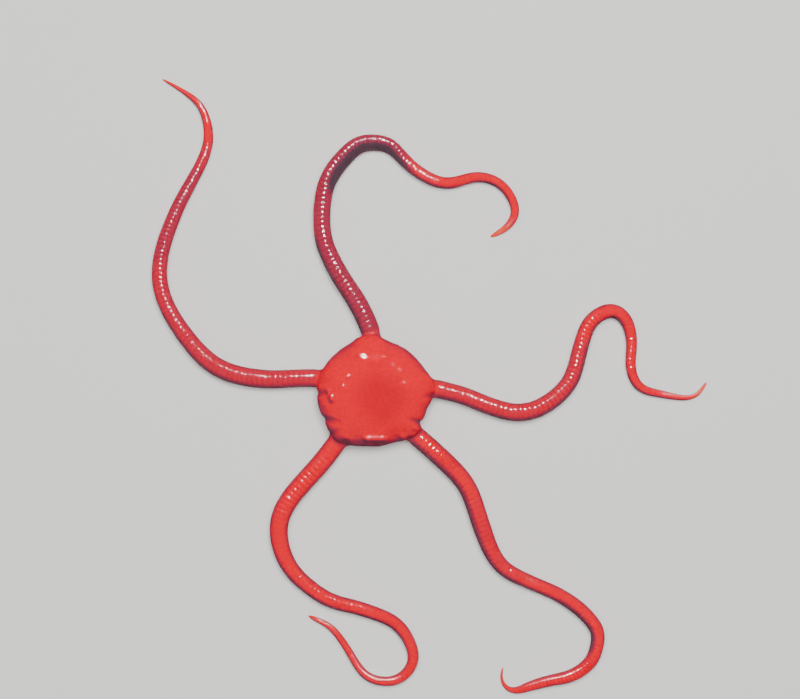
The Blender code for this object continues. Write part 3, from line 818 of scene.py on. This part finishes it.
        # Painted shade on the arm, deeper in the grooves between segments
        tube_dark = arm_painted_shade(name, along, np.cos(angle_here), tube_normals.reshape(-1, 3))
        groove = bell((run_here + 0.5) % 1 - 0.5, GROOVE_SPREAD) * ease(tube_up, *GROOVE_FADE)
        tube_dark = tube_dark * (1 + GROOVE_PAINTED_SHADE * groove)
        tube_beads = ARM_BEADS * (1 - ease(along, *BEADS_FADE))
        shade_and_film_rows.append(np.stack([tube_dark, arm_wetness(name, along), tube_beads], axis=1))
        softness.append(np.zeros(tube_index.size))

        # Fan that closes the tip
        points.append(np.append(route.points[-1], tube[-1, :, 2].mean())[None, :])
        parts.append(np.array([[0.0, 0.0, TIP_PALLOR[name]]]))
        shade_and_film_rows.append(np.zeros((1, 3)))
        softness.append(np.zeros(1))
        last = tube_index[-1]
        faces += np.stack([last, np.roll(last, -1), np.full(AROUND, total)], axis=1).tolist()
        total += 1

    # The disc's own faces outside the windows, and the fans that close the throat and the top
    grid = np.stack(
        [index[:-1], np.roll(index, -1, axis=1)[:-1], np.roll(index, -1, axis=1)[1:], index[1:]], axis=-1
    )
    faces += grid[kept].tolist()
    for row, part in ((0, (-1.0, 1.0, 0.0)), (rows - 1, (1.0, 0.0, 0.0))):
        points.append(disc_points[row].mean(axis=0)[None, :])
        parts.append(np.array([part]))
        shade_and_film_rows.append(np.zeros((1, 3)))
        softness.append(np.zeros(1))
        ring = index[row] if row else index[row][::-1]
        faces += np.stack([ring, np.roll(ring, -1), np.full(SPOKES, total)], axis=1).tolist()
        total += 1

    # Fillets: only the points near the windows are soft enough to move
    points = np.concatenate(points)
    pairs = [(face[k - 1], face[k]) for face in faces for k in range(len(face))]
    edges = np.unique(np.sort(np.array(pairs), axis=1), axis=0)
    points = relax(points, edges, np.concatenate(softness), RELAX_ROUNDS)
    points[:, 2] = np.maximum(points[:, 2], 0.0)
    return keep_used(points, faces, np.concatenate(parts), np.concatenate(shade_and_film_rows))


def skin_material():
    """Thick wet skin over small plates, scarlet above, mauve down the sides and pale below. The mauve is
    partly the skin's own colour and partly painted shade, and a dark grey-purple painted shade lies in the
    folds, in the grooves between segments and on what faces down the picture and to the left. It is matt, and
    light sinks a little way in, so it looks soft. A smooth clear film of water, broken up by the grain, gives
    the sharp glints."""
    material = bpy.data.materials.new("wet skin")
    material.use_nodes = True
    tree = material.node_tree
    part = add_node(tree, "ShaderNodeAttribute", attribute_name="skin_part")
    up, under, pallor = add_node(tree, "ShaderNodeSeparateXYZ", {0: part.outputs["Vector"]}).outputs
    finish = add_node(tree, "ShaderNodeAttribute", attribute_name="skin_finish")
    dark, wet, beads = add_node(tree, "ShaderNodeSeparateXYZ", {0: finish.outputs["Vector"]}).outputs
    place = add_node(tree, "ShaderNodeTexCoord").outputs["Object"]
    noises = {}
    for name, (size, detail, roughness) in SKIN_NOISES.items():
        look = {"Vector": place, "Scale": 1 / (size * MM), "Detail": detail, "Roughness": roughness}
        noises[name] = add_node(tree, "ShaderNodeTexNoise", look).outputs["Fac"]
    middle = tuple((DISC_CENTRE + CRIMSON_MIDDLE) * MM)
    from_middle = add_node(tree, "ShaderNodeVectorMath", {0: place, 1: middle}, operation="DISTANCE")
    facing = add_node(
        tree, "ShaderNodeMath", {0: noises["edges"], 1: EDGE_UNEVENNESS, 2: up}, operation="MULTIPLY_ADD"
    )

    # Share of each colour: a smooth step of a value from low to high, from its least to its most
    shares = {}
    for name, value, low, high, least, most in (
        ("middle", from_middle.outputs["Value"], CRIMSON_RADII[0] * MM, CRIMSON_RADII[1] * MM, 0.0, 1.0),
        ("blotches", noises["blotches"], 0.55, 0.75, 0.0, 0.5),
        ("grain", noises["grains"], 0.42, 0.60, 0.0, 0.06),
        # Mauve by how far the skin faces up: partly the skin's own colour, partly painted shade on the sides
        ("sides", facing.outputs[0], 1.05, 0.40, 0.0, 0.85),
        # Painted shade: half of it in mauve, all of it in the dark grey-purple
        ("half dusk", dark, 0.0, 0.6, 0.0, 0.9),
        ("painted_shade", dark, 0.45, 1.0, 0.0, 1.0),
        ("film", noises["grains"], 0.38, 0.56, 0.04, 1.0),
    ):
        step = {0: value, 1: low, 2: high, 3: least, 4: most}
        shares[name] = add_node(tree, "ShaderNodeMapRange", step, interpolation_type="SMOOTHSTEP").outputs[0]
    for name, one, other, operation in (
        ("crimson", shares["middle"], shares["blotches"], "MAXIMUM"),
        ("mauve", shares["sides"], shares["half dusk"], "MAXIMUM"),
        ("tip coral", pallor, 0.7, "MULTIPLY"),
        ("oral pink", under, 0.85, "MULTIPLY"),
    ):
        shares[name] = add_node(tree, "ShaderNodeMath", {0: one, 1: other}, operation=operation).outputs[0]
    colour = linear(SKIN_COLOURS["scarlet"])
    for name in ("crimson", "grain", "mauve", "painted_shade", "tip coral", "oral pink"):
        layer = {0: shares[name], 6: colour, 7: linear(SKIN_COLOURS[name])}
        colour = add_node(tree, "ShaderNodeMix", layer, data_type="RGBA").outputs[2]
    film = add_node(
        tree, "ShaderNodeMath", {0: wet, 1: shares["film"], 2: FILM_EVERYWHERE}, operation="MULTIPLY_ADD"
    )

    # Relief too fine for the mesh, as strength, depth in millimetres and pattern, each on top of the last
    pebbles = add_node(
        tree, "ShaderNodeTexVoronoi", {"Vector": place, "Scale": 1 / (PEBBLE_SIZE * MM)}, feature="SMOOTH_F1"
    )
    relief = {}
    for strength, depth, pattern in (
        (0.10, 0.05, pebbles.outputs["Distance"]),
        (0.2, 0.12, noises["dents"]),
        (beads, 0.8, noises["knobs"]),
    ):
        bump = {"Strength": strength, "Distance": depth * MM, "Height": pattern, **relief}
        relief = {"Normal": add_node(tree, "ShaderNodeBump", bump).outputs[0]}
    set_inputs(tree, tree.nodes["Principled BSDF"], {
        "Base Color": colour,
        "Roughness": 0.55,
        "Specular IOR Level": 0.0,
        "Subsurface Weight": 0.25,
        "Subsurface Radius": (1.0, 0.25, 0.2),
        "Subsurface Scale": 0.8 * MM,
        "Coat Weight": film.outputs[0],
        "Coat IOR": 1.33,
        "Coat Roughness": 0.07,
        **relief,
    })
    return material


skin_points, skin_faces, skin_part, skin_finish = make_skin()
skin = make_mesh("skin", skin_points, skin_faces, skin_part=skin_part, skin_finish=skin_finish)
skin.data.materials.append(skin_material())
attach(skin, "root")
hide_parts(*[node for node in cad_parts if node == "disc" or node.startswith("arm_")])

# Spines and scales: three small blunt spines to a side on every segment, low down and laid back along the arm
# in their own skin, and a flat scale below them, last in each row, that covers the foot's pore
SPINE_ANGLES = np.radians([-22, -38, -54, -66])
SPINE_LENGTHS = np.array([0.46, 0.42, 0.38, 0.26])
SPINE_RADII = np.array([0.085, 0.085, 0.08, 0.10])
SPINE_TILTS = np.array([0.34, 0.34, 0.30, -0.10])
SPINE_PHASE = 0.70
SPINE_SUNK = 0.06
SPINE_FACING = 0.55
SPINE_PALENESS = np.array([0.0, 0.0, 0.5, 0.5])
BARE_SEGMENTS = 3
PEG_SHARES = np.array([0.0, 0.45, 0.85])
PEG_THICKNESSES = np.array([1.0, 0.9, 0.55])
PEG_SIDES = 5
PEG_TURN = np.array([0.31, 0.17, 0.94])


def pegs(feet, directions, lengths, radii):
    """Blunt pegs: rings that shrink along each direction, closed by a point. Points per peg, and faces."""
    across = unit(np.cross(directions, PEG_TURN))
    beside = np.cross(directions, across)
    angle = 2 * math.pi * np.arange(PEG_SIDES)[None, :, None] / PEG_SIDES
    ring = np.cos(angle) * across[:, None] + np.sin(angle) * beside[:, None]
    reach = directions * lengths[:, None]
    along = reach[:, None, None] * PEG_SHARES[None, :, None, None]
    thickness = radii[:, None, None, None] * PEG_THICKNESSES[:, None, None]
    rings = feet[:, None, None] + along + ring[:, None] * thickness
    tips = (feet + reach)[:, None]
    points = np.concatenate([rings.reshape(len(feet), -1, 3), tips], axis=1)
    index = np.arange(len(PEG_SHARES) * PEG_SIDES).reshape(-1, PEG_SIDES)
    one = strips(index)
    one += [[index[-1, k], index[-1, (k + 1) % PEG_SIDES], index.size] for k in range(PEG_SIDES)]
    one += [index[0, ::-1].tolist()]
    shift = points.shape[1]
    faces = [[int(corner) + shift * peg for corner in face] for peg in range(len(feet)) for face in one]
    return points, faces


def make_spines():
    """Spines of all arms, each at a segment's far part, tilted a little off the arm's heading."""
    feet, directions, lengths, radii, parts = [], [], [], [], []
    for name, route in arm_routes.items():
        for side in (1, -1):
            runs = np.arange(route.segments - BARE_SEGMENTS) + SPINE_PHASE
            run, row = (grid.ravel() for grid in np.meshgrid(runs, np.arange(len(SPINE_ANGLES))))
            angle = SPINE_ANGLES[row] if side > 0 else math.pi - SPINE_ANGLES[row]
            place, normal, heading = route.surface(run, angle)
            scale = route.width(route.distance(run)) / ARM_WIDTH
            feet.append(place - normal * SPINE_SUNK * scale[:, None])
            directions.append(unit(heading + normal * SPINE_TILTS[row][:, None]))
            lengths.append(SPINE_LENGTHS[row] * scale)
            radii.append(SPINE_RADII[row] * scale)
            facing = np.full(len(run), SPINE_FACING)
            parts.append(np.stack([facing, SPINE_PALENESS[row], np.zeros(len(run))], axis=1))
    feet, directions, lengths, radii, parts = (
        np.concatenate(values) for values in (feet, directions, lengths, radii, parts)
    )
    points, faces = pegs(feet, directions, lengths, radii)
    points[..., 2] = np.maximum(points[..., 2], 0.0)
    parts = np.repeat(parts, points.shape[1], axis=0)
    return points.reshape(-1, 3) + DISC_CENTRE, faces, parts


spine_points, spine_faces, spine_part = make_spines()
spines = make_mesh(
    "arm_spines", spine_points, spine_faces, skin_part=spine_part, skin_finish=np.zeros_like(spine_part)
)
spines.data.materials.append(skin.data.materials[0])
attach(spines, "root")

# Jaws: five rounded wedges that close the mouth, each with two teeth at its point and a row of mouth
# papillae down both edges. They are bone under thin pale skin. A papilla's place is its reach from the
# mouth's middle and how far to the side it stands.
JAW_AZIMUTH = math.radians(54)
JAW_MIDDLE = 1.95
JAW_FACES = ((0.80, 180 - 60.7), (0.80, 180 + 60.7), (1.05, 0), (1.03, 32), (1.03, -32))
JAW_ROUNDNESS = 9
JAW_WALL_POWER = 0.45
JAW_CROWN_POWER = 0.7
JAW_LOW, JAW_HIGH = 0.50, 1.30
JAW_AROUND, JAW_UP = 40, 14
PAPILLA_PLACES = np.array([
    (0.98, -0.10), (0.98, 0.10), (1.25, -0.42), (1.25, 0.42), (1.62, -0.62), (1.62, 0.62), (2.02, -0.74),
    (2.02, 0.74), (2.44, -0.80), (2.44, 0.80), (2.84, -0.82), (2.84, 0.82),
])
PAPILLA_SPREAD = math.radians(27)
PAPILLA_FOOT = 0.72
PAPILLA_LENGTH = 0.62
PAPILLA_RADIUS = 0.17
PAPILLA_LEAN_IN = 0.30
PAPILLA_LEAN_ASIDE = 0.45
TOOTH_LEAN_IN = 0.25
TOOTH_SIDE = 0.2


def make_jaw(azimuth):
    """A wedge whose outline is the p-norm of its flat faces, swollen from low to high as a superellipsoid,
    with papillae that lean over the gap beside it."""
    turn = 2 * math.pi * np.arange(JAW_AROUND)[None, :] / JAW_AROUND
    nearness = sum(
        np.maximum(np.cos(turn - math.radians(facing)), 0) ** JAW_ROUNDNESS / distance**JAW_ROUNDNESS
        for distance, facing in JAW_FACES
    )
    radius = nearness ** (-1 / JAW_ROUNDNESS)
    rise = np.linspace(-math.pi / 2, math.pi / 2, JAW_UP + 2)[1:-1, None]
    girth_share = np.cos(rise) ** JAW_WALL_POWER
    crown = np.sign(rise) * np.abs(np.sin(rise)) ** JAW_CROWN_POWER
    height = (JAW_LOW + JAW_HIGH) / 2 + (JAW_HIGH - JAW_LOW) / 2 * crown
    out = JAW_MIDDLE + radius * girth_share * np.cos(turn)
    aside = radius * girth_share * np.sin(turn)
    wedge = np.stack([out, aside, height * np.ones_like(turn)], axis=-1)
    ends = np.array([[JAW_MIDDLE, 0, JAW_LOW], [JAW_MIDDLE, 0, JAW_HIGH]])
    index = np.arange(JAW_AROUND * JAW_UP).reshape(JAW_UP, JAW_AROUND)
    faces = strips(index)
    for end, ring in enumerate((index[0][::-1], index[-1])):
        faces += np.stack([ring, np.roll(ring, -1), np.full(JAW_AROUND, index.size + end)], axis=1).tolist()
    reach, side = PAPILLA_PLACES.T
    every = np.ones(len(reach))
    turned = side * PAPILLA_SPREAD
    feet = np.stack([reach * np.cos(turned), reach * np.sin(turned), PAPILLA_FOOT * every], axis=1)
    lean_in = PAPILLA_LEAN_IN + TOOTH_LEAN_IN * (np.abs(side) < TOOTH_SIDE)
    directions = unit(np.stack([-lean_in, PAPILLA_LEAN_ASIDE * side, -every], axis=1))
    peg_points, peg_faces = pegs(feet, directions, PAPILLA_LENGTH * every, PAPILLA_RADIUS * every)
    shift = index.size + len(ends)
    faces += [[corner + shift for corner in face] for face in peg_faces]
    points = np.concatenate([wedge.reshape(-1, 3), ends, peg_points.reshape(-1, 3)])
    c, s = math.cos(azimuth), math.sin(azimuth)
    return points @ np.array([[c, s, 0], [-s, c, 0], [0, 0, 1]]) + DISC_CENTRE, faces


# Thin pale skin over bone: smoother than the back, a little light sinks in, and it is damp without a film
JAW_COLOURS = ("#E3A79C", "#C8606A")
MOTTLE_SIZE = 0.7
jaw_skin = bpy.data.materials.new("thin pale mouth skin")
jaw_skin.use_nodes = True
jaw_tree = jaw_skin.node_tree
jaw_place = add_node(jaw_tree, "ShaderNodeTexCoord").outputs["Object"]
mottle = add_node(
    jaw_tree, "ShaderNodeTexNoise", {"Vector": jaw_place, "Scale": 1 / (MOTTLE_SIZE * MM), "Detail": 3.0}
)
pale, ruddy = (linear(colour) for colour in JAW_COLOURS)
jaw_colour = add_node(
    jaw_tree, "ShaderNodeMix", {0: mottle.outputs["Fac"], 6: pale, 7: ruddy}, data_type="RGBA"
)
set_inputs(jaw_tree, jaw_tree.nodes["Principled BSDF"], {
    "Base Color": jaw_colour.outputs[2],
    "Roughness": 0.4,
    "Subsurface Weight": 0.2,
    "Subsurface Radius": (1.0, 0.4, 0.3),
    "Subsurface Scale": 0.4 * MM,
})
for jaw_number in range(5):
    jaw_points, jaw_faces = make_jaw(JAW_AZIMUTH + 2 * math.pi * jaw_number / 5)
    jaw = make_mesh(f"jaw_{jaw_number + 1}_skin", jaw_points, jaw_faces)
    jaw.data.materials.append(jaw_skin)
    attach(jaw, "root")
    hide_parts(f"jaw_{jaw_number + 1}")

# Floor: a plain pale matt board, just under the star's foot. It isn't part of the star.
FLOOR_HALF = 3000.0
FLOOR_GAP = 0.03
floor_corners = np.array([(-1, -1, 0), (1, -1, 0), (1, 1, 0), (-1, 1, 0)]) * FLOOR_HALF
floor = make_mesh("floor", floor_corners - [0, 0, FLOOR_GAP], [(0, 1, 2, 3)])
floor_paint = bpy.data.materials.new("pale matt board")
floor_paint.use_nodes = True
set_inputs(floor_paint.node_tree, floor_paint.node_tree.nodes["Principled BSDF"], {
    "Base Color": linear("#F2F1EE"),
    "Roughness": 0.9,
    "Specular IOR Level": 0.0,
})
floor.data.materials.append(floor_paint)

# Light: a wide soft lamp nearly overhead and a weak one low on the left light the skin's own colour and the
# floor. A third, for the wet film alone, draws the sharp glints and nothing else. Each is given as place in
# millimetres, width in metres, power in watts and what it lights up.
LAMP_AIM = np.array([-5.0, 5.0, 0.0])
SURROUND_COLOUR = "#E8EAEE"
SURROUND_STRENGTH = 0.08
LAMPS = {
    "soft": ((40, 160, 640), 0.50, 6.3, "colour"),
    "fill": ((-300, -150, 420), 0.40, 0.4, "colour"),
    "glint": ((15, 190, 420), 0.16, 28.0, "film"),
}
for lamp_name, (lamp_place, lamp_size, lamp_power, lights_up) in LAMPS.items():
    lamp_data = bpy.data.lights.new(lamp_name, "AREA")
    lamp_data.shape = "DISK"
    lamp_data.size = lamp_size
    lamp_data.energy = lamp_power
    lamp = bpy.data.objects.new(lamp_name, lamp_data)
    lamp.visible_glossy = lights_up == "film"
    lamp.visible_diffuse = lights_up == "colour"
    lamp.location = np.array(lamp_place) * MM
    aim = LAMP_AIM - np.array(lamp_place)
    tilt = math.atan2(math.hypot(aim[0], aim[1]), -aim[2])
    lamp.rotation_euler = (tilt, 0.0, math.atan2(aim[1], aim[0]) - math.pi / 2)
    bpy.context.scene.collection.objects.link(lamp)
surround = bpy.data.worlds.new("studio")
surround.use_nodes = True
set_inputs(surround.node_tree, surround.node_tree.nodes["Background"], {
    "Color": linear(SURROUND_COLOUR),
    "Strength": SURROUND_STRENGTH,
})
bpy.context.scene.world = surround

# Camera: straight above, with the top of the picture towards +Y. The picture is as wide as the view is at
# half the arms' height.
VIEW_CENTRE = (-5.28, 6.77)
VIEW_WIDTH = 144.0
VIEW_HEIGHT = 1.5
CAMERA_HEIGHT = 450.0
SENSOR_WIDTH = 36.0
camera_data = bpy.data.cameras.new("camera")
camera_data.sensor_width = SENSOR_WIDTH
camera_data.lens = SENSOR_WIDTH * (CAMERA_HEIGHT - VIEW_HEIGHT) / VIEW_WIDTH
camera = bpy.data.objects.new("camera", camera_data)
camera.location = np.array([*VIEW_CENTRE, CAMERA_HEIGHT]) * MM
bpy.context.scene.collection.objects.link(camera)
bpy.context.scene.camera = camera
